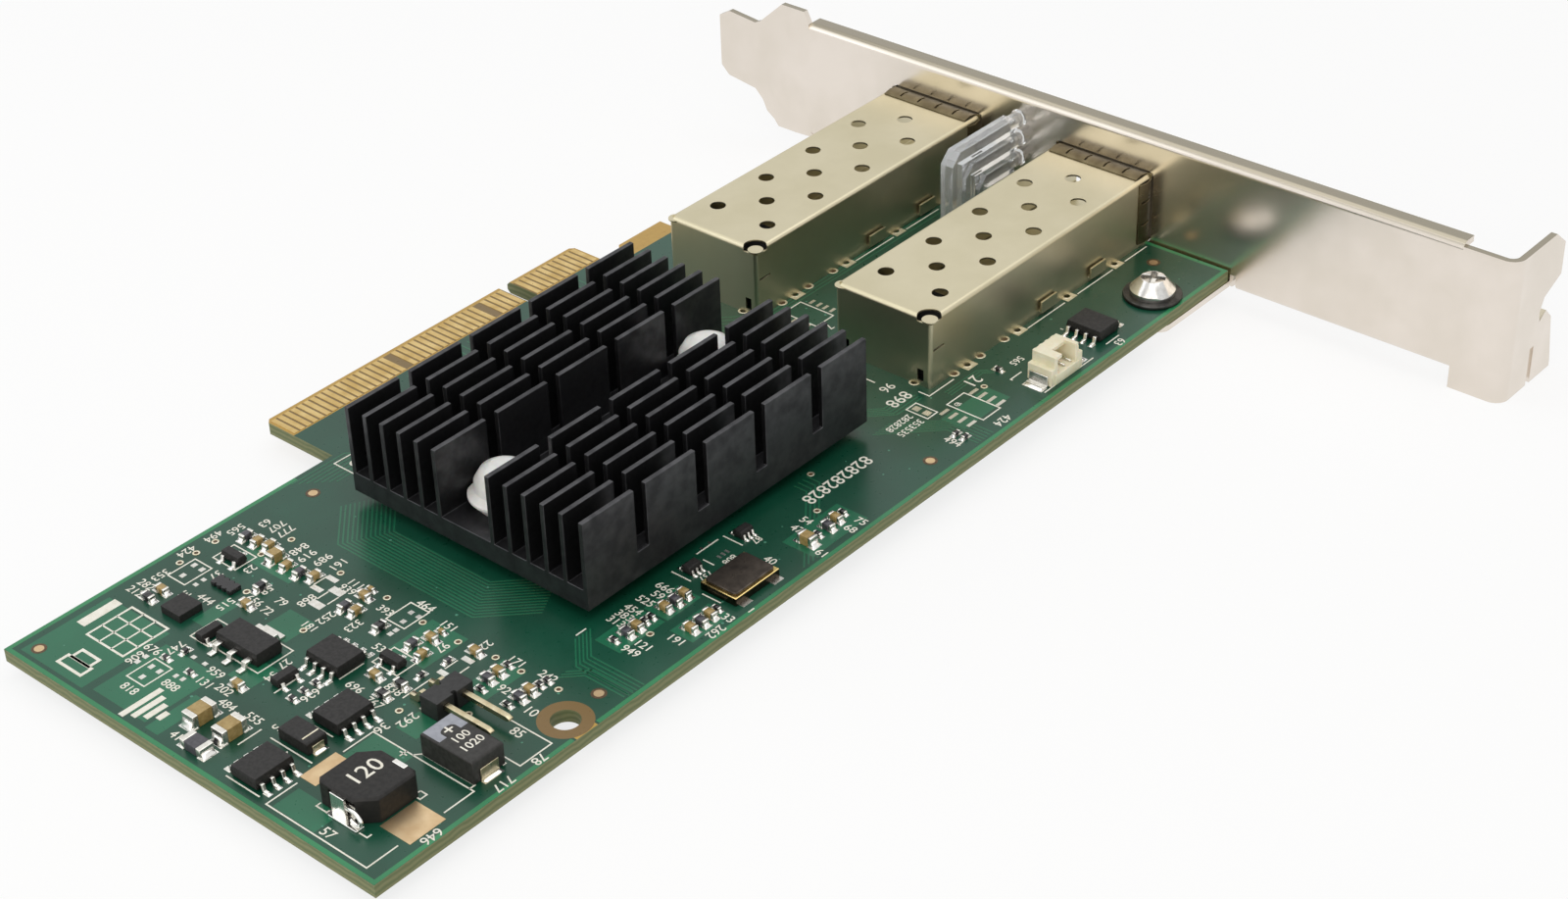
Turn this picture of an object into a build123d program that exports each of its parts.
from build123d import *
import os

os.makedirs("parts", exist_ok=True)

# A two-port network card: a low-profile board on a full-height bracket. Millimetres.
# The origin is on the centre line of the key notch, at the tips of the contacts,
# on the board's component face. +X runs away from the bracket, +Y from the
# contacts to the top edge, +Z out of the component face.

# Circuit board
board_thickness = 1.57
board_free_end = 85.09
board_bracket_end = -57.15
board_top = 68.90
board_lower_edge = 12.04
board_bracket_lower_edge = 8.00
hook_right = -14.65
hook_left = -23.90
hook_bottom = 4.90
hook_corner = 1.50
key_notch_width = 1.90
key_notch_depth = 8.00
hook_gap_depth = 8.30
tab_corner = 1.00
tab_bevel = 0.45
mounting_hole_x = 56.50
mounting_hole_inset = 3.00
mounting_hole_radius = 1.60

# Edge contacts
contact_pitch = 1.00
contact_width = 0.70
contact_length = 4.20
contact_inset = 1.00
contact_thickness = 0.05
contact_first = 1.50
contacts_long_side = 38
contacts_short_side = 11
contact_side_margin = 0.65
contacts_left_out_in_front = [4, 19]
contact_tab_right = contact_first + (contacts_long_side - 1) * contact_pitch + contact_side_margin
contact_tab_left = -(contact_first + (contacts_short_side - 1) * contact_pitch + contact_side_margin)

# Bracket, one folded sheet
bracket_sheet = 0.80
bracket_board_gap = 0.35
bracket_tongue_tip = -14.00
bracket_tab_top = 106.02
bracket_flange_start = 2.00
bracket_flange_end = 99.10
bracket_flange_reach = 2.40
bracket_flange_top = 14.10
bracket_flange_bottom = -2.75
bracket_fold_radius = 0.20
bracket_tab_fold_radius = 1.00
bracket_tab_depth = 11.40
bracket_tab_side_top = 13.65
bracket_tab_side_bottom = -5.20
ear_length = 14.50
ear_width = 8.50
ear_relief = 0.80
ear_relief_height = 0.90
ear_relief_depth = 6.00
ear_corner = 1.50
pipe_hole_play = 0.20

# Outline of the tongue past the flanges: distance past their start, height from their lower or upper level
tongue_lower_side = [(0.00, 0.00), (2.80, -0.15), (5.90, -0.15), (6.60, 0.75), (7.90, 1.65), (8.60, 3.15),
                     (9.90, 4.45)]
tongue_upper_side = [(0.00, 0.00), (0.80, 1.60), (4.70, 1.60), (5.90, 0.50), (8.70, -2.00), (9.60, -2.40)]
tongue_tip_lower = 6.35
tongue_tip_upper = -3.00
tongue_corner_lower = (1.30, 1.25)
tongue_corner_upper = (1.80, 1.05)

# Cuts in the tab: distance in from its free edge, level
tab_notch = [(0.00, 7.40), (3.60, 5.85), (4.40, 4.10), (4.10, 2.80), (2.70, 3.70), (1.20, 2.20), (0.00, -4.40),
             (-1.00, -4.40), (-1.00, 7.40), (0.00, 7.40)]
tab_corner_cut = (2.40, 2.00)
tab_slot_inset = 5.20
tab_slot_width = 0.90
tab_slot_length = 5.00
bracket_inner = board_bracket_end - bracket_board_gap
bracket_outer = bracket_inner - bracket_sheet

# Bracket screws and washers
screw_from_bracket = 10.90
screw_inset = 3.90
screw_radius = 1.50
screw_hole_radius = 1.65
screw_thread_play = 0.02
screw_head_radius = 2.80
screw_head_height = 2.10
screw_head_rim = 0.70
screw_recess_width = 0.80
screw_recess_length = 3.00
screw_recess_depth = 1.10
screw_recess_turn = 25
screw_crown_radius = 1.50
washer_radius = 3.60
washer_thickness = 0.50
screw_x = bracket_inner + screw_from_bracket
ear_upper_edge = board_top + 0.10
ear_lower_edge = board_bracket_lower_edge - 0.60
screw_upper_y = board_top - screw_inset
screw_lower_y = ear_lower_edge + screw_inset

# Port cages
cage_width = 14.10
cage_height = 9.30
cage_sheet = 0.25
cage_back = -13.50
cage_proud = 3.20
cage_fold_radius = 0.50
cage_first_y = 23.55
cage_spacing = 26.35
cage_count = 2
cage_front = bracket_outer - cage_proud
vent_radius = 1.00
vent_sides = 16
vent_rows = 3
vent_columns = 4
vent_row_pitch = 4.00
vent_column_pitch = 9.07
vent_first_inset = 5.65
relief_hole_radius = 1.45
relief_hole_inset = 0.90
relief_depth = 0.75
relief_flap = 1.50
relief_flap_inset = 0.15
rear_notch = 1.30
rear_slot_inset = 1.50
rear_slot_level = 0.60
rear_slot_width = 0.90
rear_slot_height = 1.60
side_slit_length = 2.00
side_slit_height = 0.30
side_slit_level = 5.00
lance_length = 3.10
lance_foot_level = 0.50
lance_height = 1.50
lance_proud = 0.50
lance_first_inset = 22.50
lance_spacing = 10.10
lance_count = 2
cage_pin_width = 0.70
cage_pin_length = 2.30
cage_pin_hole_radius = 0.52
cage_pin_hole_sides = 8
cage_pin_first_inset = 6.90
cage_pin_spacing = 9.90
cage_pins_each_side = 4
rear_pin_inset = 2.50
base_side_height = 2.20
base_play = 0.05
cage_ys = [cage_first_y + i * cage_spacing for i in range(cage_count)]
base_gap = 2.50
base_key_back = 9.50
base_key_front = 6.90
base_key_width = 3.20
base_slot_length = 12.00
base_slot_width = 0.40
base_slot_offset = 2.60

# Spring collar round each cage's mouth
collar_sheet = 0.15
collar_play = 0.20
collar_finger_length = 3.60
collar_finger_rise = 0.25
collar_slit_width = 0.25
collar_top_slits = 4
collar_side_slits = 2
collar_corner = 0.90
collar_back_gap = 0.20
collar_finger_root = 0.40
collar_finger_apex = 0.55
collar_slit_margin = 0.60

# Host connector in the rear of each cage
host_width = 12.20
host_length = 9.60
host_height = 5.60
host_rear_gap = 1.20
host_slot_width = 9.80
host_slot_height = 1.40
host_slot_depth = 5.50
host_slot_level = 2.90
host_contact_count = 10
host_contact_pitch = 0.80
host_contact_width = 0.30
host_contact_sheet = 0.15
host_contact_foot = 0.70
host_contact_rise = 2.00
host_chamfer = 0.40

# Light pipe between the cages
pipe_y = 36.70
pipe_size = 1.90
pipe_spacing = 2.75
pipe_lowest = 5.30
pipe_count = 3
pipe_outer_leg_x = -43.60
pipe_foot_gap = 0.30
pipe_web = 0.70
pipe_nose_radius = 1.00
pipe_nose_length = 3.30
pipe_nose_proud = 0.50
pipe_nose_chamfer = 0.40
led_length = 1.60
led_width = 0.80
led_height = 0.70

# Heatsink, its pad and the chip below it
sink_x = 20.80
sink_length = 45.60
sink_y = 38.94
sink_bottom = 1.50
sink_base = 2.50
sink_height = 11.00
fin_pitch = 2.69
fin_thickness = 0.90
fins_each_side = 6
fin_channel_pitches = 3
fin_cuts = 4
fin_cut_width = 1.75
fin_cut_floor = 0.70
chip_size = 25.00
chip_substrate = 0.50
chip_cap_size = 22.00
pad_thickness = 0.30
pad_size = 20.00

# Push pins that hold the heatsink down
push_pin_middle_x = 21.10
push_pin_spread = 16.40
push_pin_shank = 1.45
push_pin_play = 0.10
push_pin_foot = 2.90
push_pin_flare = 4.10
push_pin_flare_rise = 1.50
push_pin_flare_rim = 0.30
push_pin_head = 3.30
push_pin_head_level = 2.40
push_pin_head_rim = 1.00
push_pin_head_rise = 2.90
push_pin_shoulder = 2.60
push_pin_shoulder_drop = 0.75
push_pin_crown = 1.30
push_pin_flats = 6.90
push_pin_sides = 12
push_pin_barb = 1.75
push_pin_tip = 0.75
push_pin_barb_length = 2.40
push_pin_slit = 0.60

# Small packages, length by width by height
chip_0402 = (1.00, 0.50, 0.50)
chip_0603 = (1.60, 0.85, 0.80)
chip_0805 = (2.00, 1.25, 1.20)
terminal_share = 0.22

# Chip parts along X or Y: centre x, centre y, direction, size
ceramic_capacitors = [
    (68.2, 17.3, "y", chip_0603), (64.2, 26.4, "y", chip_0603), (55.9, 18.6, "x", chip_0603),
    (55.6, 20.2, "x", chip_0603), (56.7, 22.4, "x", chip_0805), (56.9, 24.5, "x", chip_0603),
    (56.3, 28.3, "x", chip_0603), (57.7, 36.4, "x", chip_0603), (54.0, 34.7, "y", chip_0402),
    (55.3, 35.1, "y", chip_0603), (73.7, 36.2, "y", chip_0603), (63.8, 46.0, "y", chip_0603),
    (58.5, 47.3, "x", chip_0603), (54.4, 45.9, "y", chip_0402), (55.9, 46.0, "y", chip_0603),
    (54.6, 51.2, "y", chip_0603), (55.5, 55.4, "y", chip_0603), (55.6, 60.0, "y", chip_0603),
    (41.1, 61.2, "y", chip_0603), (36.9, 61.3, "y", chip_0603), (33.9, 61.3, "y", chip_0603),
    (37.9, 65.8, "y", chip_0603), (34.9, 65.8, "y", chip_0603), (18.6, 65.3, "y", chip_0805),
    (13.5, 65.0, "y", chip_0603), (79.5, 37.3, "x", (3.20, 1.80, 1.60)),
    (79.2, 41.5, "x", (3.20, 1.80, 1.60)),
]
chip_resistors = [
    (70.0, 17.2, "y", chip_0603), (61.2, 25.2, "x", chip_0603), (75.4, 26.8, "y", chip_0402),
    (73.4, 27.5, "x", chip_0402), (75.4, 30.7, "y", chip_0402), (68.4, 42.2, "y", chip_0402),
    (70.0, 42.2, "y", chip_0402), (71.6, 42.2, "y", chip_0402), (58.0, 40.4, "x", chip_0603),
    (65.5, 49.0, "y", chip_0603), (63.2, 49.2, "y", chip_0603), (60.8, 49.6, "x", chip_0402),
    (58.5, 55.9, "y", chip_0402), (54.0, 55.3, "y", chip_0402), (58.6, 59.8, "y", chip_0402),
    (54.3, 60.1, "y", chip_0402), (53.3, 60.2, "y", chip_0402), (44.2, 60.9, "y", chip_0402),
    (39.9, 61.2, "y", chip_0402), (38.9, 61.2, "y", chip_0402), (33.6, 65.6, "y", chip_0402),
    (16.9, 65.3, "y", chip_0402), (12.1, 64.8, "y", chip_0402), (-21.6, 60.6, "y", chip_0402),
    (-7.8, 65.0, "x", chip_0402), (-7.9, 66.2, "x", chip_0402),
]
ferrite_beads = [
    (56.0, 16.8, "x", chip_0603), (56.9, 26.6, "x", chip_0603), (57.9, 34.9, "x", chip_0603),
    (57.9, 45.2, "x", chip_0603), (57.4, 50.0, "x", chip_0402), (57.0, 55.4, "y", chip_0603),
    (57.1, 60.0, "y", chip_0603), (42.6, 61.2, "y", chip_0603), (35.4, 61.4, "y", chip_0603),
    (36.4, 65.9, "y", chip_0603), (15.2, 65.3, "y", chip_0603), (82.7, 40.6, "y", (3.20, 1.80, 1.10)),
]

# Gull-wing packages: centre x, centre y, direction the leads point
soic_places = [(64.6, 41.0, "x"), (70.25, 48.4, "y"), (80.9, 48.4, "y"), (-35.6, 64.0, "x")]
soic_body = (4.90, 3.90, 1.35)
soic_standoff = 0.15
soic_span = 6.00
soic_lead_pitch = 1.27
soic_lead_width = 0.42
soic_lead_sheet = 0.22
soic_foot = 0.60
sot_places = [(59.5, 18.9, "x"), (70.0, 27.3, "y"), (70.0, 39.2, "y"), (61.1, 45.8, "x")]
sot_body = (2.90, 1.30, 1.00)
sot_span = 2.50
sot_lead_pitch = 0.95
sot_lead_width = 0.42
sot_lead_sheet = 0.15
sot_foot = 0.35
sc70_places = [(30.0, 58.9, "y"), (21.7, 58.9, "y")]
sc70_body = (2.00, 1.25, 0.90)
sc70_span = 2.10
sc70_lead_pitch = 0.65
sc70_lead_width = 0.25

# Regulator with a heat tab
regulator_x = 68.75
regulator_y = 32.25
regulator_body_size = (3.50, 6.50, 1.60)
regulator_span = 7.20
regulator_lead_pitch = 2.30
regulator_lead_width = 0.70
regulator_tab_width = 3.00
regulator_sheet = 0.28
regulator_foot = 0.90

# Other parts on the board
qfn_x = 69.05
qfn_y = 21.65
qfn_size = 3.10
qfn_height = 0.95
array_x = 63.30
array_y = 22.00
array_size = (1.60, 3.20, 0.60)
inductor_x = 76.90
inductor_y = 59.50
inductor_size = 7.00
inductor_height = 3.00
inductor_wide_corner = 1.80
inductor_narrow_corner = 0.50
inductor_edge = 0.25
inductor_sill = 1.00
inductor_terminal_width = 3.00
inductor_terminal_sheet = 0.25
inductor_window_width = 3.60
inductor_window_depth = 0.60
tantalum_x = 67.15
tantalum_y = 62.35
moulded_edge = 0.20
tantalum_size = (4.30, 7.30, 2.80)
tantalum_terminal_width = 2.40
tantalum_terminal_sheet = 0.15
tantalum_terminal_rise = 1.50
diode_x = 75.20
diode_y = 47.90
diode_size = (2.60, 4.40, 1.50)
diode_terminal_width = 1.50
diode_terminal_rise = 0.90
header_x = 62.30
header_y = 55.10
header_pitch = 2.60
header_block = (2.40, 2.60, 2.30)
header_pin = 0.64
header_pin_level = 1.35
header_pin_front = 6.50
header_pin_tail = 2.60
header_pin_point = 0.50
oscillator_x = 28.50
oscillator_y = 64.40
oscillator_size = (7.00, 5.00)
oscillator_base_height = 1.00
oscillator_lid_height = 0.35
oscillator_rim = 0.30
oscillator_lid_corner = 0.50

# Side-entry connector
aux_x = -25.35
aux_y = 65.95
aux_size = (6.10, 3.70, 3.60)
aux_wall = 0.45
aux_mouth_depth = 2.60
aux_sill = 1.30
aux_ribs = 5
aux_rib_width = 0.35
aux_rib_depth = 0.30
aux_pin_pitch = 1.25
aux_pin_count = 3
aux_pin_size = 0.30
aux_tab_length = 0.90
aux_tab_width = 2.60
aux_tab_sheet = 0.25


def sized(length, width, direction):
    """Length and width as X and Y sizes for a part that lies along X or Y."""
    return (length, width) if direction == "x" else (width, length)


def turned(x, y, direction):
    """A location on the board, turned a quarter turn when the part points along Y."""
    return Location((x, y, 0), (0, 0, 0 if direction == "x" else 90))


# Circuit board

cage_pin_xs = [cage_back - cage_pin_first_inset - i * cage_pin_spacing for i in range(cage_pins_each_side)]
cage_pin_row = cage_width / 2 - cage_sheet / 2
rear_pin_x = cage_back - cage_sheet / 2
rear_pin_offset = cage_width / 2 - rear_pin_inset
push_pin_xs = (push_pin_middle_x - push_pin_spread, push_pin_middle_x + push_pin_spread)
screw_places = [(screw_x, screw_upper_y), (screw_x, screw_lower_y)]

with BuildPart() as pcb:
    with BuildSketch(Plane.XY.offset(-board_thickness)):
        with BuildLine():
            Polyline(
                (board_bracket_end, board_top), (board_free_end, board_top),
                (board_free_end, board_lower_edge), (contact_tab_right, board_lower_edge),
                (contact_tab_right, tab_corner), (contact_tab_right - tab_corner, 0),
                (contact_tab_left + tab_corner, 0), (contact_tab_left, tab_corner),
                (contact_tab_left, hook_gap_depth), (hook_right, hook_gap_depth),
                (hook_right, hook_bottom + hook_corner), (hook_right - hook_corner, hook_bottom),
                (hook_left, hook_bottom), (hook_left, board_bracket_lower_edge),
                (board_bracket_end, board_bracket_lower_edge), (board_bracket_end, board_top),
            )
        make_face()
        with Locations((0, 0)):
            Rectangle(key_notch_width, 2 * key_notch_depth, mode=Mode.SUBTRACT)
        with Locations((mounting_hole_x, board_top - mounting_hole_inset)):
            Circle(mounting_hole_radius, mode=Mode.SUBTRACT)
        with Locations(*screw_places):
            Circle(screw_hole_radius, mode=Mode.SUBTRACT)
        with Locations(*[(x, sink_y) for x in push_pin_xs]):
            Circle(push_pin_shank + push_pin_play, mode=Mode.SUBTRACT)
        for cage_y in cage_ys:
            pin_places = [(x, cage_y + s * cage_pin_row) for x in cage_pin_xs for s in (-1, 1)]
            pin_places += [(rear_pin_x, cage_y + s * rear_pin_offset) for s in (-1, 1)]
            with Locations(*pin_places):
                RegularPolygon(cage_pin_hole_radius, cage_pin_hole_sides, mode=Mode.SUBTRACT)
    extrude(amount=board_thickness)
    tip_faces = pcb.faces().filter_by(Axis.Y).sort_by(Axis.Y).filter_by(lambda f: abs(f.center().Y) < 0.01)
    tip_edges = tip_faces.edges().filter_by(Axis.X)
    chamfer(tip_edges, length=tab_bevel)
pcb.part.label = "pcb"
export_step(pcb.part, "parts/pcb.step")

contact_xs = [contact_first + i * contact_pitch for i in range(contacts_long_side)]
contact_xs += [-contact_first - i * contact_pitch for i in range(contacts_short_side)]
contact_y = contact_inset + contact_length / 2


def edge_contacts(base_level, left_out):
    """One face's row of plated contacts, starting at the given level, without the places left out."""
    with BuildPart() as contacts:
        with BuildSketch(Plane.XY.offset(base_level)):
            with Locations(*[(x, contact_y) for i, x in enumerate(contact_xs) if i not in left_out]):
                Rectangle(contact_width, contact_length)
        extrude(amount=contact_thickness)
    return contacts


contacts_front = edge_contacts(0, contacts_left_out_in_front)
contacts_front.part.label = "edge_contacts_front"
export_step(contacts_front.part, "parts/edge_contacts_front.step")
contacts_back = edge_contacts(-board_thickness - contact_thickness, [])
contacts_back.part.label = "edge_contacts_back"
export_step(contacts_back.part, "parts/edge_contacts_back.step")

# Bracket: the tab that screws to the chassis, with its open screw notch

tab_reach = bracket_inner - bracket_tab_depth
tab_outer_radius = bracket_tab_fold_radius + bracket_sheet

with BuildPart() as tab:
    with BuildSketch(Plane.XY.offset(bracket_tab_side_bottom)):
        with BuildLine():
            Polyline(
                (bracket_inner, bracket_flange_end), (bracket_inner, bracket_tab_top),
                (tab_reach, bracket_tab_top), (tab_reach, bracket_tab_top - bracket_sheet),
                (bracket_outer, bracket_tab_top - bracket_sheet), (bracket_outer, bracket_flange_end),
                (bracket_inner, bracket_flange_end),
            )
        make_face()
        fold = tab_outer_radius
        fillet(vertices().sort_by(Axis.Y)[-2:].sort_by(Axis.X)[-1], fold)
        inside = [v for v in vertices() if abs(v.X - bracket_outer) < 0.01 and v.Y > bracket_flange_end + 1]
        fillet(inside, bracket_tab_fold_radius)
    extrude(amount=bracket_tab_side_top - bracket_tab_side_bottom)
    with BuildSketch(Plane.XZ.offset(-bracket_tab_top)) as notch:
        with BuildLine():
            Polyline(*[(tab_reach + inset, level) for inset, level in tab_notch])
        make_face()
        with BuildLine():
            Polyline(
                (tab_reach, bracket_tab_side_top - tab_corner_cut[1]),
                (tab_reach + tab_corner_cut[0], bracket_tab_side_top),
                (tab_reach, bracket_tab_side_top), (tab_reach, bracket_tab_side_top - tab_corner_cut[1]),
            )
        make_face()
        with Locations((tab_reach + tab_slot_inset, bracket_tab_side_bottom)):
            Rectangle(tab_slot_width, 2 * tab_slot_length)
    extrude(amount=2 * bracket_sheet, mode=Mode.SUBTRACT)

# The plate: a flanged channel along the card, a plain plate at each end, two ears

mouth_half = cage_width / 2 + collar_sheet + collar_play
mouth_bottom = -collar_sheet - collar_play
mouth_top = cage_height + collar_sheet + collar_play
pipe_levels = [pipe_lowest + i * pipe_spacing for i in range(pipe_count)]
ear_top = -board_thickness
ear_places = [(ear_lower_edge, ear_lower_edge + ear_width), (ear_upper_edge - ear_width, ear_upper_edge)]
tip_lower = bracket_flange_bottom + tongue_tip_lower
tip_upper = bracket_flange_top + tongue_tip_upper
tongue_outline = [(bracket_flange_start - past, bracket_flange_bottom + rise)
                  for past, rise in tongue_lower_side]
tongue_outline += [
    (bracket_tongue_tip + tongue_corner_lower[0], tip_lower - tongue_corner_lower[1]),
    (bracket_tongue_tip, tip_lower), (bracket_tongue_tip, tip_upper),
    (bracket_tongue_tip + tongue_corner_upper[0], tip_upper + tongue_corner_upper[1]),
]
tongue_outline += [(bracket_flange_start - past, bracket_flange_top + rise)
                   for past, rise in reversed(tongue_upper_side)]

with BuildPart() as bracket:
    with BuildSketch(Plane.XZ.offset(-bracket_flange_start)):
        with BuildLine():
            Polyline(
                (bracket_inner, bracket_flange_top), (bracket_inner, bracket_flange_bottom),
                (bracket_inner - bracket_flange_reach, bracket_flange_bottom),
                (bracket_inner - bracket_flange_reach, bracket_flange_bottom + bracket_sheet),
                (bracket_outer, bracket_flange_bottom + bracket_sheet),
                (bracket_outer, bracket_flange_top - bracket_sheet),
                (bracket_inner - bracket_flange_reach, bracket_flange_top - bracket_sheet),
                (bracket_inner - bracket_flange_reach, bracket_flange_top),
                (bracket_inner, bracket_flange_top),
            )
        make_face()
        outside = [v for v in vertices() if abs(v.X - bracket_inner) < 0.01]
        inside = [v for v in vertices() if abs(v.X - bracket_outer) < 0.01]
        fillet(outside, bracket_fold_radius + bracket_sheet)
        fillet(inside, bracket_fold_radius)
    extrude(amount=-(bracket_flange_end - bracket_flange_start))
    with BuildSketch(Plane.YZ.offset(bracket_outer)):
        with BuildLine():
            Polyline(*tongue_outline, tongue_outline[0])
        make_face()
    extrude(amount=bracket_sheet)
    add(tab.part)
    for lower, upper in ear_places:
        with BuildSketch(Plane.XY.offset(ear_top)):
            with Locations((bracket_inner, (lower + upper) / 2)):
                Rectangle(ear_length, upper - lower, align=(Align.MIN, Align.CENTER))
        extrude(amount=-bracket_sheet)
    ear_corners = bracket.edges().filter_by(Axis.Z).filter_by(
        lambda e: abs(e.center().X - bracket_inner - ear_length) < 0.01)
    fillet(ear_corners, ear_corner)
    with Locations(*[(x, y, ear_top - bracket_sheet / 2) for x, y in screw_places]):
        Cylinder(screw_radius + screw_thread_play, 3 * bracket_sheet, mode=Mode.SUBTRACT)
    for lower, upper in ear_places:
        with BuildSketch(Plane.YZ.offset(bracket_outer - bracket_flange_reach)):
            for edge in (lower - ear_relief / 2, upper + ear_relief / 2):
                with Locations((edge, ear_top + ear_relief_height)):
                    Rectangle(ear_relief, ear_relief_depth, align=(Align.CENTER, Align.MAX))
        extrude(amount=bracket_flange_reach + 2 * bracket_sheet, mode=Mode.SUBTRACT)
    with BuildSketch(Plane.YZ.offset(bracket_outer - bracket_sheet)):
        for cage_y in cage_ys:
            with Locations((cage_y, (mouth_top + mouth_bottom) / 2)):
                RectangleRounded(2 * mouth_half, mouth_top - mouth_bottom, collar_corner)
        with Locations(*[(pipe_y, level) for level in pipe_levels]):
            Circle(pipe_nose_radius + pipe_hole_play)
    extrude(amount=3 * bracket_sheet, mode=Mode.SUBTRACT)
bracket.part.label = "bracket"
export_step(bracket.part, "parts/bracket.step")

# Screws through the board into the ears, with a washer under each head

head_rim = washer_thickness + screw_head_rim
head_top = washer_thickness + screw_head_height

with BuildPart() as bracket_screws:
    for x, y in screw_places:
        with BuildSketch(Plane(origin=(x, y, 0), x_dir=(1, 0, 0), z_dir=(0, -1, 0))):
            with BuildLine():
                Polyline(
                    (0, ear_top - bracket_sheet), (screw_radius, ear_top - bracket_sheet),
                    (screw_radius, washer_thickness), (screw_head_radius, washer_thickness),
                    (screw_head_radius, head_rim), (screw_crown_radius, head_top), (0, head_top),
                    (0, ear_top - bracket_sheet),
                )
            make_face()
        revolve(axis=Axis((x, y, 0), (0, 0, 1)))
        with BuildSketch(Plane.XY.offset(head_top)):
            with Locations(Location((x, y), screw_recess_turn)):
                Rectangle(screw_recess_length, screw_recess_width)
                Rectangle(screw_recess_width, screw_recess_length)
        extrude(amount=-screw_recess_depth, mode=Mode.SUBTRACT)
bracket_screws.part.label = "bracket_screws"
export_step(bracket_screws.part, "parts/bracket_screws.step")

with BuildPart() as bracket_washers:
    with BuildSketch():
        with Locations(*screw_places):
            Circle(washer_radius)
            Circle(screw_hole_radius, mode=Mode.SUBTRACT)
    extrude(amount=washer_thickness)
bracket_washers.part.label = "bracket_washers"
export_step(bracket_washers.part, "parts/bracket_washers.step")

# Port cages: a folded cover with vents, slots and press-fit pins, a base, a spring collar

cage_length = cage_back - cage_front
cage_middle_x = (cage_back + cage_front) / 2
host_back = cage_back - host_rear_gap
host_front = host_back - host_length
base_length = host_front - host_contact_foot - base_gap - cage_front
lance_xs = [cage_back - lance_first_inset - i * lance_spacing for i in range(lance_count)]
lance_bend = [
    (-cage_sheet, 0), (lance_proud, 0), (lance_proud, lance_height), (lance_proud - cage_sheet, lance_height),
    (lance_proud - cage_sheet, cage_sheet), (-cage_sheet, cage_sheet), (-cage_sheet, 0),
]


def cage_cover(cage_y):
    """The folded cover: roof, two sides and a rear wall from one sheet."""
    right = cage_y - cage_width / 2
    left = cage_y + cage_width / 2
    with BuildPart() as cover:
        with BuildSketch():
            with Locations((cage_middle_x, cage_y)):
                Rectangle(cage_length, cage_width)
        extrude(amount=cage_height)
        roof_edges = cover.faces().sort_by(Axis.Z)[-1].edges().sort_by(Axis.X)[1:]
        rear_corners = cover.edges().filter_by(Axis.Z).group_by(Axis.X)[-1]
        fillet(roof_edges + rear_corners, cage_fold_radius)
        front_face = cover.faces().sort_by(Axis.X)[0]
        floor_face = cover.faces().sort_by(Axis.Z)[0]
        offset(amount=-cage_sheet, openings=[front_face, floor_face])
        with BuildSketch(Plane.XY.offset(cage_height)):
            for row in range(vent_rows):
                shift = vent_column_pitch / 2 if row % 2 else 0
                for column in range(vent_columns):
                    vent_x = cage_back - vent_first_inset - shift - column * vent_column_pitch
                    vent_y = cage_y + (row - (vent_rows - 1) / 2) * vent_row_pitch
                    with Locations((vent_x, vent_y)):
                        RegularPolygon(vent_radius, vent_sides)
        extrude(amount=-2 * cage_sheet, mode=Mode.SUBTRACT)
        with BuildSketch(Plane.XY.offset(cage_height)):
            with Locations((cage_back - relief_hole_inset, left - relief_hole_inset)):
                Circle(relief_hole_radius)
        extrude(amount=-relief_depth, mode=Mode.SUBTRACT)
        with BuildSketch(Plane.XY.offset(cage_height - relief_depth)):
            with Locations((cage_back - relief_flap_inset, left - relief_flap_inset)):
                Rectangle(relief_flap, relief_flap, align=(Align.MAX, Align.MAX))
            fillet(vertices().sort_by(Axis((0, 0, 0), (1, 1, 0)))[0], relief_flap * 0.8)
        extrude(amount=-cage_sheet)
        with Locations((cage_back, right, cage_height)):
            Box(rear_notch, rear_notch, rear_notch, mode=Mode.SUBTRACT)
        with BuildSketch(Plane.YZ.offset(cage_back - 2 * cage_sheet)):
            with Locations(*[(y, rear_slot_level) for y in (right + rear_slot_inset, left - rear_slot_inset)]):
                Rectangle(rear_slot_width, rear_slot_height, align=(Align.CENTER, Align.MIN))
        extrude(amount=3 * cage_sheet, mode=Mode.SUBTRACT)
        with BuildSketch(Plane.XZ.offset(-left - 1)):
            with Locations((cage_back - cage_fold_radius, side_slit_level)):
                Rectangle(side_slit_length, side_slit_height, align=(Align.MAX, Align.CENTER))
            with Locations(*[(x, lance_foot_level + cage_sheet) for x in lance_xs]):
                Rectangle(lance_length, lance_height - cage_sheet, align=(Align.CENTER, Align.MIN))
        extrude(amount=cage_width + 2, mode=Mode.SUBTRACT)
        for side, wall in ((-1, right), (1, left)):
            for x in lance_xs:
                with BuildSketch(Plane.YZ.offset(x - lance_length / 2)):
                    with BuildLine():
                        Polyline(*[(wall + side * out, lance_foot_level + rise) for out, rise in lance_bend])
                    make_face()
                extrude(amount=lance_length)
        for x in cage_pin_xs:
            with Locations(*[(x, cage_y + s * cage_pin_row, 0) for s in (-1, 1)]):
                Box(cage_pin_width, cage_sheet, cage_pin_length, align=(Align.CENTER, Align.CENTER, Align.MAX))
        with Locations(*[(rear_pin_x, cage_y + s * rear_pin_offset, 0) for s in (-1, 1)]):
            Box(cage_sheet, cage_pin_width, cage_pin_length, align=(Align.CENTER, Align.CENTER, Align.MAX))
    return cover


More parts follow.
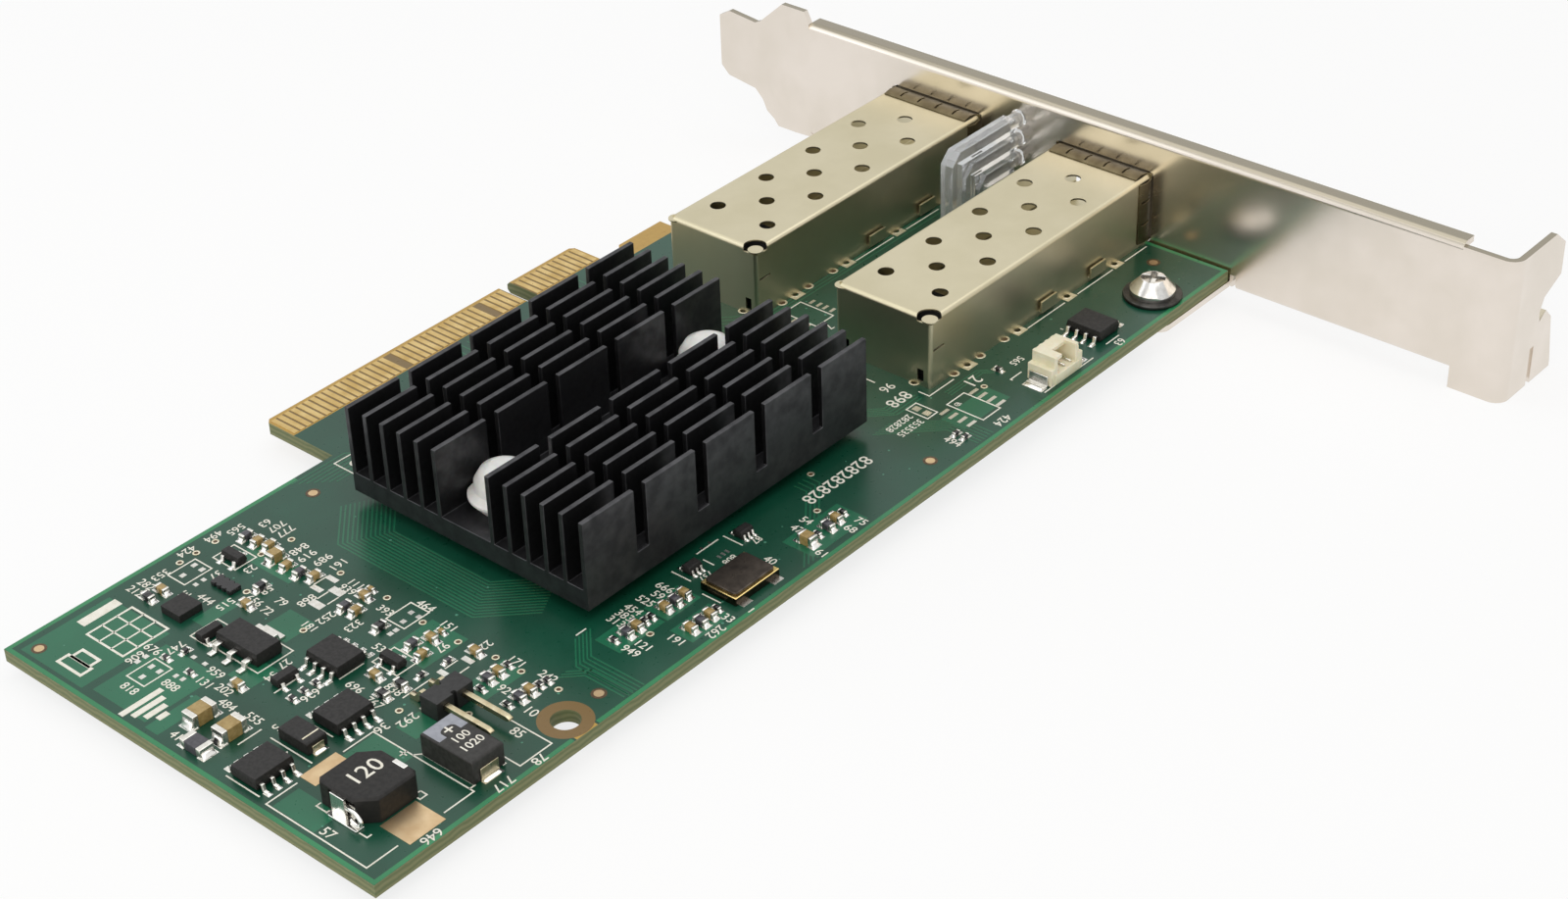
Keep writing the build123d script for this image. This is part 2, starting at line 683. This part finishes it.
def cage_base(cage_y):
    """The base: a floor with upturned sides that lie against the cover's walls."""
    width = cage_width - 2 * cage_sheet - 2 * base_play
    middle = cage_front + base_length / 2
    with BuildPart() as base:
        with BuildSketch(Plane.YZ.offset(cage_front)):
            with Locations((cage_y, 0)):
                Rectangle(width, base_side_height, align=(Align.CENTER, Align.MIN))
            with Locations((cage_y, cage_sheet)):
                Rectangle(width - 2 * cage_sheet, base_side_height, align=(Align.CENTER, Align.MIN),
                          mode=Mode.SUBTRACT)
        extrude(amount=base_length)
        with BuildSketch():
            with BuildLine():
                Polyline(
                    (cage_front + base_key_back, cage_y - base_key_width / 2),
                    (cage_front + base_key_back, cage_y + base_key_width / 2),
                    (cage_front + base_key_front, cage_y),
                    (cage_front + base_key_back, cage_y - base_key_width / 2),
                )
            make_face()
            with Locations(*[(cage_front, cage_y + side * base_slot_offset) for side in (-1, 1)]):
                Rectangle(base_slot_length, base_slot_width, align=(Align.MIN, Align.CENTER))
        extrude(amount=cage_sheet, mode=Mode.SUBTRACT)
    return base


def spring_collar(cage_y):
    """Thin ring round the mouth, with slit and bowed contact fingers on three sides."""
    outer = cage_width + 2 * collar_sheet
    ring_back = board_bracket_end - collar_back_gap
    finger_back = ring_back + collar_finger_length
    middle_z = cage_height / 2
    finger_run = cage_width - 2 * cage_fold_radius
    side_run = cage_height - 2 * cage_fold_radius
    with BuildPart() as collar:
        with BuildSketch(Plane.YZ.offset(cage_front)):
            with Locations((cage_y, middle_z)):
                Rectangle(outer, cage_height + 2 * collar_sheet)
            fillet(vertices().sort_by(Axis.Z)[-2:], cage_fold_radius + collar_sheet)
        extrude(amount=ring_back - cage_front)
        with BuildSketch(Plane.YZ.offset(cage_front)):
            with Locations((cage_y, middle_z)):
                Rectangle(cage_width, cage_height)
            fillet(vertices().sort_by(Axis.Z)[-2:], cage_fold_radius)
        extrude(amount=ring_back - cage_front, mode=Mode.SUBTRACT)
        root = ring_back - collar_finger_root
        apex = ring_back + collar_finger_apex * collar_finger_length
        bow = [
            (root, 0), (ring_back, 0), (apex, collar_finger_rise), (finger_back, 0),
            (finger_back, collar_sheet),
            (apex, collar_finger_rise + collar_sheet), (ring_back, collar_sheet),
            (root, collar_sheet), (root, 0),
        ]
        with BuildSketch(Plane.XZ.offset(-cage_y - finger_run / 2)):
            with BuildLine():
                Polyline(*[(x, cage_height + rise) for x, rise in bow])
            make_face()
        extrude(amount=finger_run)
        for side in (-1, 1):
            with BuildSketch(Plane.XY.offset(cage_fold_radius)):
                with BuildLine():
                    Polyline(*[(x, cage_y + side * (cage_width / 2 + rise)) for x, rise in bow])
                make_face()
            extrude(amount=side_run)
        slit_length = collar_finger_length - 2 * collar_slit_margin
        slit_x = ring_back + collar_slit_margin + slit_length / 2
        with BuildSketch(Plane.XY.offset(cage_height)):
            with Locations((slit_x, cage_y)):
                with GridLocations(1, cage_width / (collar_top_slits + 1), 1, collar_top_slits):
                    Rectangle(slit_length, collar_slit_width)
        extrude(amount=2 * (collar_sheet + collar_finger_rise), mode=Mode.SUBTRACT)
        with BuildSketch(Plane.XZ.offset(-cage_y)):
            with Locations((slit_x, middle_z)):
                with GridLocations(1, cage_height / (collar_side_slits + 1), 1, collar_side_slits):
                    Rectangle(slit_length, collar_slit_width)
        extrude(amount=cage_width, both=True, mode=Mode.SUBTRACT)
    return collar


for number, cage_y in enumerate(cage_ys, start=1):
    cover = cage_cover(cage_y)
    cover.part.label = f"cage_{number}_cover"
    export_step(cover.part, f"parts/cage_{number}_cover.step")
    base = cage_base(cage_y)
    base.part.label = f"cage_{number}_base"
    export_step(base.part, f"parts/cage_{number}_base.step")
    collar = spring_collar(cage_y)
    collar.part.label = f"cage_{number}_spring_collar"
    export_step(collar.part, f"parts/cage_{number}_spring_collar.step")

# Host connectors, one in the rear of each cage, and their soldered contacts

for number, cage_y in enumerate(cage_ys, start=1):
    with BuildPart() as host:
        with BuildSketch():
            with Locations(((host_back + host_front) / 2, cage_y)):
                Rectangle(host_length, host_width)
        extrude(amount=host_height)
        chamfer(host.faces().sort_by(Axis.Z)[-1].edges(), host_chamfer)
        with BuildSketch(Plane.YZ.offset(host_front)):
            with Locations((cage_y, host_slot_level)):
                Rectangle(host_slot_width, host_slot_height)
        extrude(amount=host_slot_depth, mode=Mode.SUBTRACT)
    host.part.label = f"host_connector_{number}"
    export_step(host.part, f"parts/host_connector_{number}.step")

with BuildPart() as host_contacts:
    contact_span = (host_contact_count - 1) / 2
    for cage_y in cage_ys:
        for face, away in ((host_back, 1), (host_front, -1)):
            with BuildSketch(Plane.XZ.offset(-cage_y - host_contact_width / 2)) as foot:
                with BuildLine():
                    Polyline(
                        (face, 0), (face + away * host_contact_foot, 0),
                        (face + away * host_contact_foot, host_contact_sheet),
                        (face + away * host_contact_sheet, host_contact_sheet),
                        (face + away * host_contact_sheet, host_contact_rise),
                        (face, host_contact_rise), (face, 0),
                    )
                make_face()
            with Locations(*[(0, (i - contact_span) * host_contact_pitch, 0)
                             for i in range(host_contact_count)]):
                add(extrude(foot.sketch, amount=host_contact_width, mode=Mode.PRIVATE))
host_contacts.part.label = "host_connector_contacts"
export_step(host_contacts.part, "parts/host_connector_contacts.step")

# Light pipe: three nested legs in one clear moulding, over three lamps

pipe_leg_xs = [pipe_outer_leg_x - (pipe_count - 1 - i) * pipe_spacing for i in range(pipe_count)]
pipe_back_x = bracket_outer - pipe_nose_proud
pipe_shoulder_x = pipe_back_x + pipe_nose_length
pipe_foot_level = led_height + pipe_foot_gap
half_pipe = pipe_size / 2

with BuildPart() as light_pipe:
    with BuildSketch(Plane.XZ.offset(-pipe_y - half_pipe)):
        for leg_x, level in zip(pipe_leg_xs, pipe_levels):
            with BuildLine():
                Polyline(
                    (leg_x - half_pipe, pipe_foot_level), (leg_x + half_pipe, pipe_foot_level),
                    (leg_x + half_pipe, level - half_pipe * 0.6), (leg_x - half_pipe * 0.6, level + half_pipe),
                    (pipe_shoulder_x, level + half_pipe), (pipe_shoulder_x, level - half_pipe),
                    (leg_x - half_pipe, level - half_pipe), (leg_x - half_pipe, pipe_foot_level),
                )
            make_face()
    extrude(amount=pipe_size)
    with BuildSketch(Plane.XZ.offset(-pipe_y - pipe_web / 2)):
        with BuildLine():
            Polyline(
                (pipe_leg_xs[0], pipe_levels[0]), (pipe_leg_xs[0], pipe_levels[-1] - half_pipe),
                (pipe_leg_xs[0] - pipe_web, pipe_levels[-1]),
                (pipe_leg_xs[0] + pipe_spacing / 2, pipe_levels[-1]),
                (pipe_leg_xs[-1], pipe_levels[0]), (pipe_leg_xs[0], pipe_levels[0]),
            )
        make_face()
        for left_leg in pipe_leg_xs[:-1]:
            with Locations((left_leg + pipe_spacing / 2, 0)):
                Rectangle(pipe_spacing - led_width - 1.0, pipe_levels[0], align=(Align.CENTER, Align.MIN))
    extrude(amount=pipe_web)
    with BuildSketch(Plane.YZ.offset(pipe_shoulder_x)):
        with Locations(*[(pipe_y, level) for level in pipe_levels]):
            Circle(pipe_nose_radius)
    extrude(amount=-pipe_nose_length)
    nose_edges = light_pipe.faces().sort_by(Axis.X)[:pipe_count].edges()
    chamfer(nose_edges, pipe_nose_chamfer)
light_pipe.part.label = "light_pipe"
export_step(light_pipe.part, "parts/light_pipe.step")

with BuildPart() as port_leds:
    with BuildSketch():
        with Locations(*[(x, pipe_y) for x in pipe_leg_xs]):
            Rectangle(led_width, led_length)
    extrude(amount=led_height * 0.5)
    with BuildSketch(Plane.XY.offset(led_height * 0.5)):
        with Locations(*[(x, pipe_y) for x in pipe_leg_xs]):
            Rectangle(led_width, led_length * 0.6)
    extrude(amount=led_height * 0.5)
port_leds.part.label = "port_leds"
export_step(port_leds.part, "parts/port_leds.step")

# Heatsink: a raised base, two groups of fins, cut across into short lengths

fin_rows = [(fin_channel_pitches / 2 + i) * fin_pitch for i in range(fins_each_side)]
sink_width = 2 * fin_rows[-1] + fin_thickness
segment = (sink_length - fin_cuts * fin_cut_width) / (fin_cuts + 1)
sink_top = sink_bottom + sink_height
base_top = sink_bottom + sink_base

with BuildPart() as heatsink:
    with BuildSketch(Plane.XY.offset(sink_bottom)):
        with Locations((sink_x, sink_y)):
            Rectangle(sink_length, sink_width)
        with Locations(*[(x, sink_y) for x in push_pin_xs]):
            Circle(push_pin_shank + push_pin_play, mode=Mode.SUBTRACT)
    extrude(amount=sink_base)
    with BuildSketch(Plane.XY.offset(base_top)):
        with Locations(*[(sink_x, sink_y + s * row) for row in fin_rows for s in (-1, 1)]):
            Rectangle(sink_length, fin_thickness)
    extrude(amount=sink_height - sink_base)
    with BuildSketch(Plane.XY.offset(base_top + fin_cut_floor)):
        with Locations((sink_x, sink_y)):
            with GridLocations(segment + fin_cut_width, 1, fin_cuts, 1):
                Rectangle(fin_cut_width, sink_width + 1)
    extrude(amount=sink_height, mode=Mode.SUBTRACT)
heatsink.part.label = "heatsink"
export_step(heatsink.part, "parts/heatsink.step")

with BuildPart() as controller_chip:
    with BuildSketch():
        with Locations((sink_x, sink_y)):
            Rectangle(chip_size, chip_size)
    extrude(amount=chip_substrate)
    with BuildSketch(Plane.XY.offset(chip_substrate)):
        with Locations((sink_x, sink_y)):
            Rectangle(chip_cap_size, chip_cap_size)
    extrude(amount=sink_bottom - pad_thickness - chip_substrate)
controller_chip.part.label = "controller_chip"
export_step(controller_chip.part, "parts/controller_chip.step")

with BuildPart() as thermal_pad:
    with BuildSketch(Plane.XY.offset(sink_bottom - pad_thickness)):
        with Locations((sink_x, sink_y)):
            Rectangle(pad_size, pad_size)
    extrude(amount=pad_thickness)
thermal_pad.part.label = "thermal_pad"
export_step(thermal_pad.part, "parts/thermal_pad.step")

# Push pins: a crowned head over a flare, both flat beside the fins, shank through the board, split barb

flare_level = base_top + push_pin_flare_rise
pin_head_level = base_top + push_pin_head_level
pin_rim_level = pin_head_level + push_pin_head_rim
pin_top_level = pin_head_level + push_pin_head_rise

with BuildPart() as push_pins:
    for x in push_pin_xs:
        with BuildSketch(Plane(origin=(x, sink_y, 0), x_dir=(1, 0, 0), z_dir=(0, -1, 0))):
            with BuildLine():
                Polyline(
                    (0, base_top), (push_pin_foot, base_top), (push_pin_flare, flare_level),
                    (push_pin_flare, flare_level + push_pin_flare_rim), (push_pin_head, pin_head_level),
                    (push_pin_head, pin_rim_level), (push_pin_shoulder, pin_top_level - push_pin_shoulder_drop),
                    (push_pin_crown, pin_top_level), (0, pin_top_level), (0, base_top),
                )
            make_face()
        revolve(axis=Axis((x, sink_y, 0), (0, 0, 1)))
        with Locations(*[(x, sink_y + side * push_pin_flats, pin_top_level) for side in (-1, 1)]):
            Box(4 * push_pin_flare, push_pin_flats, 2 * push_pin_flats, mode=Mode.SUBTRACT)
        with BuildSketch(Plane.XY.offset(-board_thickness)):
            with Locations((x, sink_y)):
                RegularPolygon(push_pin_shank, push_pin_sides)
        extrude(amount=board_thickness + base_top)
        with BuildSketch(Plane.XY.offset(-board_thickness)):
            with Locations((x, sink_y)):
                RegularPolygon(push_pin_barb, push_pin_sides)
        with BuildSketch(Plane.XY.offset(-board_thickness - push_pin_barb_length)):
            with Locations((x, sink_y)):
                RegularPolygon(push_pin_tip, push_pin_sides)
        loft(ruled=True)
        with Locations((x, sink_y, -board_thickness - push_pin_barb_length)):
            Box(push_pin_slit, 4 * push_pin_barb, 2 * push_pin_barb_length, mode=Mode.SUBTRACT)
push_pins.part.label = "heatsink_push_pins"
export_step(push_pins.part, "parts/heatsink_push_pins.step")

# Chip parts: bodies of three kinds, and the plated caps on their ends


def chip_bodies(places, name):
    """Bodies between the end caps, one solid for each part."""
    with BuildPart() as bodies:
        for x, y, direction, (length, width, height) in places:
            size = sized(length * (1 - 2 * terminal_share), width, direction)
            with Locations((x, y, 0)):
                Box(*size, height, align=(Align.CENTER, Align.CENTER, Align.MIN))
    bodies.part.label = name
    export_step(bodies.part, f"parts/{name}.step")


chip_bodies(ceramic_capacitors, "ceramic_capacitor_bodies")
chip_bodies(chip_resistors, "chip_resistor_bodies")
chip_bodies(ferrite_beads, "ferrite_bead_bodies")

with BuildPart() as chip_terminals:
    for x, y, direction, (length, width, height) in ceramic_capacitors + chip_resistors + ferrite_beads:
        cap = length * terminal_share
        reach = (length - cap) / 2
        for side in (-1, 1):
            step_x, step_y = sized(side * reach, 0, direction)
            with Locations((x + step_x, y + step_y, 0)):
                Box(*sized(cap, width, direction), height, align=(Align.CENTER, Align.CENTER, Align.MIN))
chip_terminals.part.label = "chip_terminals"
export_step(chip_terminals.part, "parts/chip_terminals.step")

# Gull-wing packages


def package_body(length, width, height, standoff):
    """A moulded body on the XY plane, its sides drafted towards the parting line."""
    draft = 0.10
    with BuildPart() as body:
        with BuildSketch(Plane.XY.offset(standoff)):
            Rectangle(width - 2 * draft, length - 2 * draft)
        with BuildSketch(Plane.XY.offset(standoff + height / 2)):
            Rectangle(width, length)
        loft(ruled=True)
        with BuildSketch(Plane.XY.offset(standoff + height / 2)):
            Rectangle(width, length)
        with BuildSketch(Plane.XY.offset(standoff + height)):
            Rectangle(width - 3 * draft, length - 2 * draft)
        loft(ruled=True)
    return body.part


def gull_wing(start, span, level, sheet, foot, width):
    """One lead: out of the body at half height, down, and a flat foot on the board."""
    knee = span / 2 - foot
    with BuildPart() as lead:
        with BuildSketch(Plane.XZ.offset(-width / 2)):
            with BuildLine():
                Polyline(
                    (start, level), (start, level - sheet), (knee - sheet, level - sheet),
                    (knee - sheet * 0.4, 0), (span / 2, 0), (span / 2, sheet),
                    (knee + sheet * 0.6, sheet), (knee, level), (start, level),
                )
            make_face()
        extrude(amount=width)
    return lead.part


soic_shape = package_body(soic_body[0], soic_body[1], soic_body[2], soic_standoff)
sot_shape = package_body(sot_body[0], sot_body[1], sot_body[2], soic_standoff * 0.4)
sc70_shape = package_body(sc70_body[0], sc70_body[1], sc70_body[2], soic_standoff * 0.4)

with BuildPart() as soic_bodies:
    with Locations(*[turned(x, y, d) for x, y, d in soic_places]):
        add(soic_shape)
soic_bodies.part.label = "soic_bodies"
export_step(soic_bodies.part, "parts/soic_bodies.step")

with BuildPart() as sot_bodies:
    with Locations(*[turned(x, y, d) for x, y, d in sot_places]):
        add(sot_shape)
    with Locations(*[turned(x, y, d) for x, y, d in sc70_places]):
        add(sc70_shape)
sot_bodies.part.label = "sot_bodies"
export_step(sot_bodies.part, "parts/sot_bodies.step")

soic_lead = gull_wing(soic_body[1] / 2, soic_span, soic_standoff + soic_body[2] / 2 + soic_lead_sheet / 2,
                      soic_lead_sheet, soic_foot, soic_lead_width)
sot_lead = gull_wing(sot_body[1] / 2, sot_span, soic_standoff * 0.4 + sot_body[2] / 2 + sot_lead_sheet / 2,
                     sot_lead_sheet, sot_foot, sot_lead_width)
sc70_lead = gull_wing(sc70_body[1] / 2, sc70_span, soic_standoff * 0.4 + sc70_body[2] / 2 + sot_lead_sheet / 2,
                      sot_lead_sheet, sot_foot * 0.8, sc70_lead_width)


def lead_places(places, steps_right, steps_left, pitch):
    """Locations of leads on both sides of every package."""
    spots = []
    for x, y, direction in places:
        base = turned(x, y, direction)
        spots += [base * Location((0, step * pitch, 0)) for step in steps_right]
        spots += [base * Location((0, step * pitch, 0), (0, 0, 180)) for step in steps_left]
    return spots


with BuildPart() as soic_leads:
    with Locations(*lead_places(soic_places, (-1.5, -0.5, 0.5, 1.5), (-1.5, -0.5, 0.5, 1.5), soic_lead_pitch)):
        add(soic_lead)
soic_leads.part.label = "soic_leads"
export_step(soic_leads.part, "parts/soic_leads.step")

with BuildPart() as sot_leads:
    with Locations(*lead_places(sot_places, (-1, 1), (0,), sot_lead_pitch)):
        add(sot_lead)
    with Locations(*lead_places(sc70_places, (-1, 0, 1), (-1, 0, 1), sc70_lead_pitch)):
        add(sc70_lead)
sot_leads.part.label = "sot_leads"
export_step(sot_leads.part, "parts/sot_leads.step")

# Regulator

regulator_shape = package_body(regulator_body_size[1], regulator_body_size[0], regulator_body_size[2], 0.05)
regulator_level = 0.05 + regulator_body_size[2] / 2 + regulator_sheet / 2

with BuildPart() as regulator_body:
    with Locations((regulator_x, regulator_y)):
        add(regulator_shape)
regulator_body.part.label = "regulator_body"
export_step(regulator_body.part, "parts/regulator_body.step")

regulator_lead = gull_wing(regulator_body_size[0] / 2, regulator_span, regulator_level, regulator_sheet,
                           regulator_foot, regulator_lead_width)
regulator_tab = gull_wing(regulator_body_size[0] / 2, regulator_span, regulator_level, regulator_sheet,
                          regulator_foot, regulator_tab_width)

with BuildPart() as regulator_leads:
    with Locations(*[(regulator_x, regulator_y + i * regulator_lead_pitch) for i in (-1, 0, 1)]):
        add(regulator_lead)
    with Locations(Location((regulator_x, regulator_y, 0), (0, 0, 180))):
        add(regulator_tab)
regulator_leads.part.label = "regulator_leads"
export_step(regulator_leads.part, "parts/regulator_leads.step")

# Flat no-lead chip and resistor array

with BuildPart() as qfn_chip:
    with Locations((qfn_x, qfn_y, 0)):
        Box(qfn_size, qfn_size, qfn_height, align=(Align.CENTER, Align.CENTER, Align.MIN))
qfn_chip.part.label = "qfn_chip"
export_step(qfn_chip.part, "parts/qfn_chip.step")

with BuildPart() as resistor_array:
    with Locations((array_x, array_y, 0)):
        Box(*array_size, align=(Align.CENTER, Align.CENTER, Align.MIN))
    with Locations((array_x, array_y, 0)):
        with GridLocations(array_size[0], array_size[1] / 4, 2, 3):
            Box(0.4, 0.3, 3 * array_size[2], mode=Mode.SUBTRACT)
resistor_array.part.label = "resistor_array"
export_step(resistor_array.part, "parts/resistor_array.step")

# Power inductor: a block with two wide and two narrow corners cut, a window at each terminal

with BuildPart() as inductor_body:
    with BuildSketch():
        with Locations((inductor_x, inductor_y)):
            Rectangle(inductor_size, inductor_size)
        corners = vertices().sort_by(Axis((0, 0, 0), (1, 1, 0)))
        chamfer([corners[0], corners[-1]], inductor_wide_corner)
        sharper = [v for v in vertices() if abs(abs(v.X - inductor_x) - abs(v.Y - inductor_y)) < 0.01]
        chamfer(sharper, inductor_narrow_corner)
    extrude(amount=inductor_height)
    chamfer(inductor_body.faces().sort_by(Axis.Z)[-1].edges(), inductor_edge)
    for side in (-1, 1):
        window_x = inductor_x + side * (inductor_size / 2 - inductor_window_depth / 2)
        with Locations((window_x, inductor_y, inductor_height / 2)):
            Box(inductor_window_depth, inductor_window_width, inductor_height - inductor_sill,
                mode=Mode.SUBTRACT)
        with Locations((inductor_x + side * inductor_size / 2, inductor_y, 0)):
            Box(2 * inductor_window_depth, inductor_terminal_width, inductor_sill, mode=Mode.SUBTRACT)
inductor_body.part.label = "power_inductor_body"
export_step(inductor_body.part, "parts/power_inductor_body.step")

with BuildPart() as inductor_terminals:
    for side in (-1, 1):
        outer_x = inductor_x + side * inductor_size / 2
        inner_x = outer_x - side * inductor_window_depth
        with BuildSketch(Plane.XZ.offset(-inductor_y - inductor_terminal_width / 2)):
            with BuildLine():
                Polyline(
                    (inner_x, 0), (outer_x, 0), (outer_x, inductor_terminal_sheet),
                    (inner_x + side * inductor_terminal_sheet, inductor_terminal_sheet),
                    (inner_x + side * inductor_terminal_sheet, inductor_height * 0.55),
                    (inner_x, inductor_height * 0.55), (inner_x, 0),
                )
            make_face()
        extrude(amount=inductor_terminal_width)
inductor_terminals.part.label = "power_inductor_terminals"
export_step(inductor_terminals.part, "parts/power_inductor_terminals.step")

# Moulded capacitor and diode: a drafted body, and a strip folded up each end


def moulded_body(x, y, size, name):
    """A moulded body with its long side along Y, its upper edges bevelled."""
    with BuildPart() as body:
        with Locations((x, y, 0)):
            Box(*size, align=(Align.CENTER, Align.CENTER, Align.MIN))
        chamfer(body.faces().sort_by(Axis.Z)[-1].edges(), moulded_edge)
    body.part.label = name
    export_step(body.part, f"parts/{name}.step")


def folded_terminals(x, y, size, width, rise, sheet, name):
    """Strips up the two ends along Y, standing on the board."""
    with BuildPart() as strips:
        for side in (-1, 1):
            with Locations((x, y + side * (size[1] + sheet) / 2, 0)):
                Box(width, sheet, rise, align=(Align.CENTER, Align.CENTER, Align.MIN))
    strips.part.label = name
    export_step(strips.part, f"parts/{name}.step")


moulded_body(tantalum_x, tantalum_y, tantalum_size, "tantalum_body")
folded_terminals(tantalum_x, tantalum_y, tantalum_size, tantalum_terminal_width, tantalum_terminal_rise,
                 tantalum_terminal_sheet, "tantalum_terminals")
moulded_body(diode_x, diode_y, diode_size, "diode_body")
folded_terminals(diode_x, diode_y, diode_size, diode_terminal_width, diode_terminal_rise,
                 tantalum_terminal_sheet, "diode_terminals")

# Two-pin header, lying flat

header_xs = [header_x - header_pitch / 2, header_x + header_pitch / 2]

with BuildPart() as header_body:
    with Locations((header_x, header_y, 0)):
        Box(header_pitch + header_block[0], header_block[1], header_block[2],
            align=(Align.CENTER, Align.CENTER, Align.MIN))
    with Locations((header_x, header_y, 0)):
        with GridLocations(1, header_block[1], 1, 2):
            Box(0.5, 0.9, 3 * header_block[2], mode=Mode.SUBTRACT)
    with Locations(*[(x, header_y, header_pin_level) for x in header_xs]):
        Box(header_pin, 2 * header_block[1], header_pin, mode=Mode.SUBTRACT)
header_body.part.label = "pin_header_body"
export_step(header_body.part, "parts/pin_header_body.step")

with BuildPart() as header_pins:
    front = header_y + header_block[1] / 2 + header_pin_front
    rear = header_y - header_block[1] / 2 - header_pin_tail
    half_pin = header_pin / 2
    for x in header_xs:
        with BuildSketch(Plane.YZ.offset(x - half_pin)):
            with BuildLine():
                Polyline(
                    (front - header_pin_point, header_pin_level + half_pin),
                    (front, header_pin_level + half_pin * 0.4), (front, header_pin_level - half_pin * 0.4),
                    (front - header_pin_point, header_pin_level - half_pin),
                    (rear + 2.0, header_pin_level - half_pin), (rear + 1.2, 0), (rear, 0),
                    (rear, header_pin), (rear + 0.8, header_pin),
                    (rear + 1.6, header_pin_level + half_pin),
                    (front - header_pin_point, header_pin_level + half_pin),
                )
            make_face()
        extrude(amount=header_pin)
header_pins.part.label = "pin_header_pins"
export_step(header_pins.part, "parts/pin_header_pins.step")

# Crystal oscillator

with BuildPart() as oscillator_base:
    with Locations((oscillator_x, oscillator_y, 0)):
        Box(*oscillator_size, oscillator_base_height, align=(Align.CENTER, Align.CENTER, Align.MIN))
oscillator_base.part.label = "oscillator_base"
export_step(oscillator_base.part, "parts/oscillator_base.step")

with BuildPart() as oscillator_lid:
    with BuildSketch(Plane.XY.offset(oscillator_base_height)):
        with Locations((oscillator_x, oscillator_y)):
            RectangleRounded(*[side - 2 * oscillator_rim for side in oscillator_size], oscillator_lid_corner)
    extrude(amount=oscillator_lid_height)
oscillator_lid.part.label = "oscillator_lid"
export_step(oscillator_lid.part, "parts/oscillator_lid.step")

# Side-entry connector: a box open at the top edge of the card, ribbed inside

aux_front = aux_y + aux_size[1] / 2
aux_inner_back = aux_front - aux_mouth_depth

with BuildPart() as aux_housing:
    with Locations((aux_x, aux_y, 0)):
        Box(*aux_size, align=(Align.CENTER, Align.CENTER, Align.MIN))
    with BuildSketch(Plane.XZ.offset(-aux_inner_back)):
        with Locations((aux_x, aux_sill)):
            Rectangle(aux_size[0] - 2 * aux_wall, aux_size[2] - aux_sill - aux_wall,
                      align=(Align.CENTER, Align.MIN))
    extrude(amount=-2 * aux_mouth_depth, mode=Mode.SUBTRACT)
    with Locations((aux_x, aux_inner_back, aux_sill)):
        with GridLocations((aux_size[0] - 2 * aux_wall) / aux_ribs, 1, aux_ribs, 1):
            Box(aux_rib_width, aux_rib_depth, aux_size[2] - aux_sill - aux_wall,
                align=(Align.CENTER, Align.MIN, Align.MIN))
    with Locations((aux_x, aux_front, aux_size[2])):
        Box(aux_size[0] * 0.45, 1.2, 3 * aux_wall, mode=Mode.SUBTRACT)
aux_housing.part.label = "aux_connector_housing"
export_step(aux_housing.part, "parts/aux_connector_housing.step")

with BuildPart() as aux_pins:
    pin_span = (aux_pin_count - 1) / 2
    with Locations(*[(aux_x + (i - pin_span) * aux_pin_pitch, aux_inner_back + aux_rib_depth, aux_sill)
                     for i in range(aux_pin_count)]):
        Box(aux_pin_size, aux_mouth_depth - aux_rib_depth - 0.5, aux_pin_size,
            align=(Align.CENTER, Align.MIN, Align.MIN))
    aux_back = aux_y - aux_size[1] / 2
    with Locations(*[(aux_x + (i - pin_span) * aux_pin_pitch, aux_back, 0) for i in range(aux_pin_count)]):
        Box(aux_pin_size, 0.8, 0.25, align=(Align.CENTER, Align.MAX, Align.MIN))
aux_pins.part.label = "aux_connector_pins"
export_step(aux_pins.part, "parts/aux_connector_pins.step")

with BuildPart() as aux_tabs:
    for side in (-1, 1):
        face = aux_x + side * aux_size[0] / 2
        with BuildSketch(Plane.XZ.offset(-aux_y - aux_tab_width / 2)):
            with BuildLine():
                Polyline(
                    (face, 0), (face + side * aux_tab_length, 0),
                    (face + side * aux_tab_length, aux_tab_sheet),
                    (face + side * aux_tab_sheet, aux_tab_sheet), (face + side * aux_tab_sheet, 1.4),
                    (face, 1.4), (face, 0),
                )
            make_face()
        extrude(amount=aux_tab_width)
aux_tabs.part.label = "aux_connector_tabs"
export_step(aux_tabs.part, "parts/aux_connector_tabs.step")
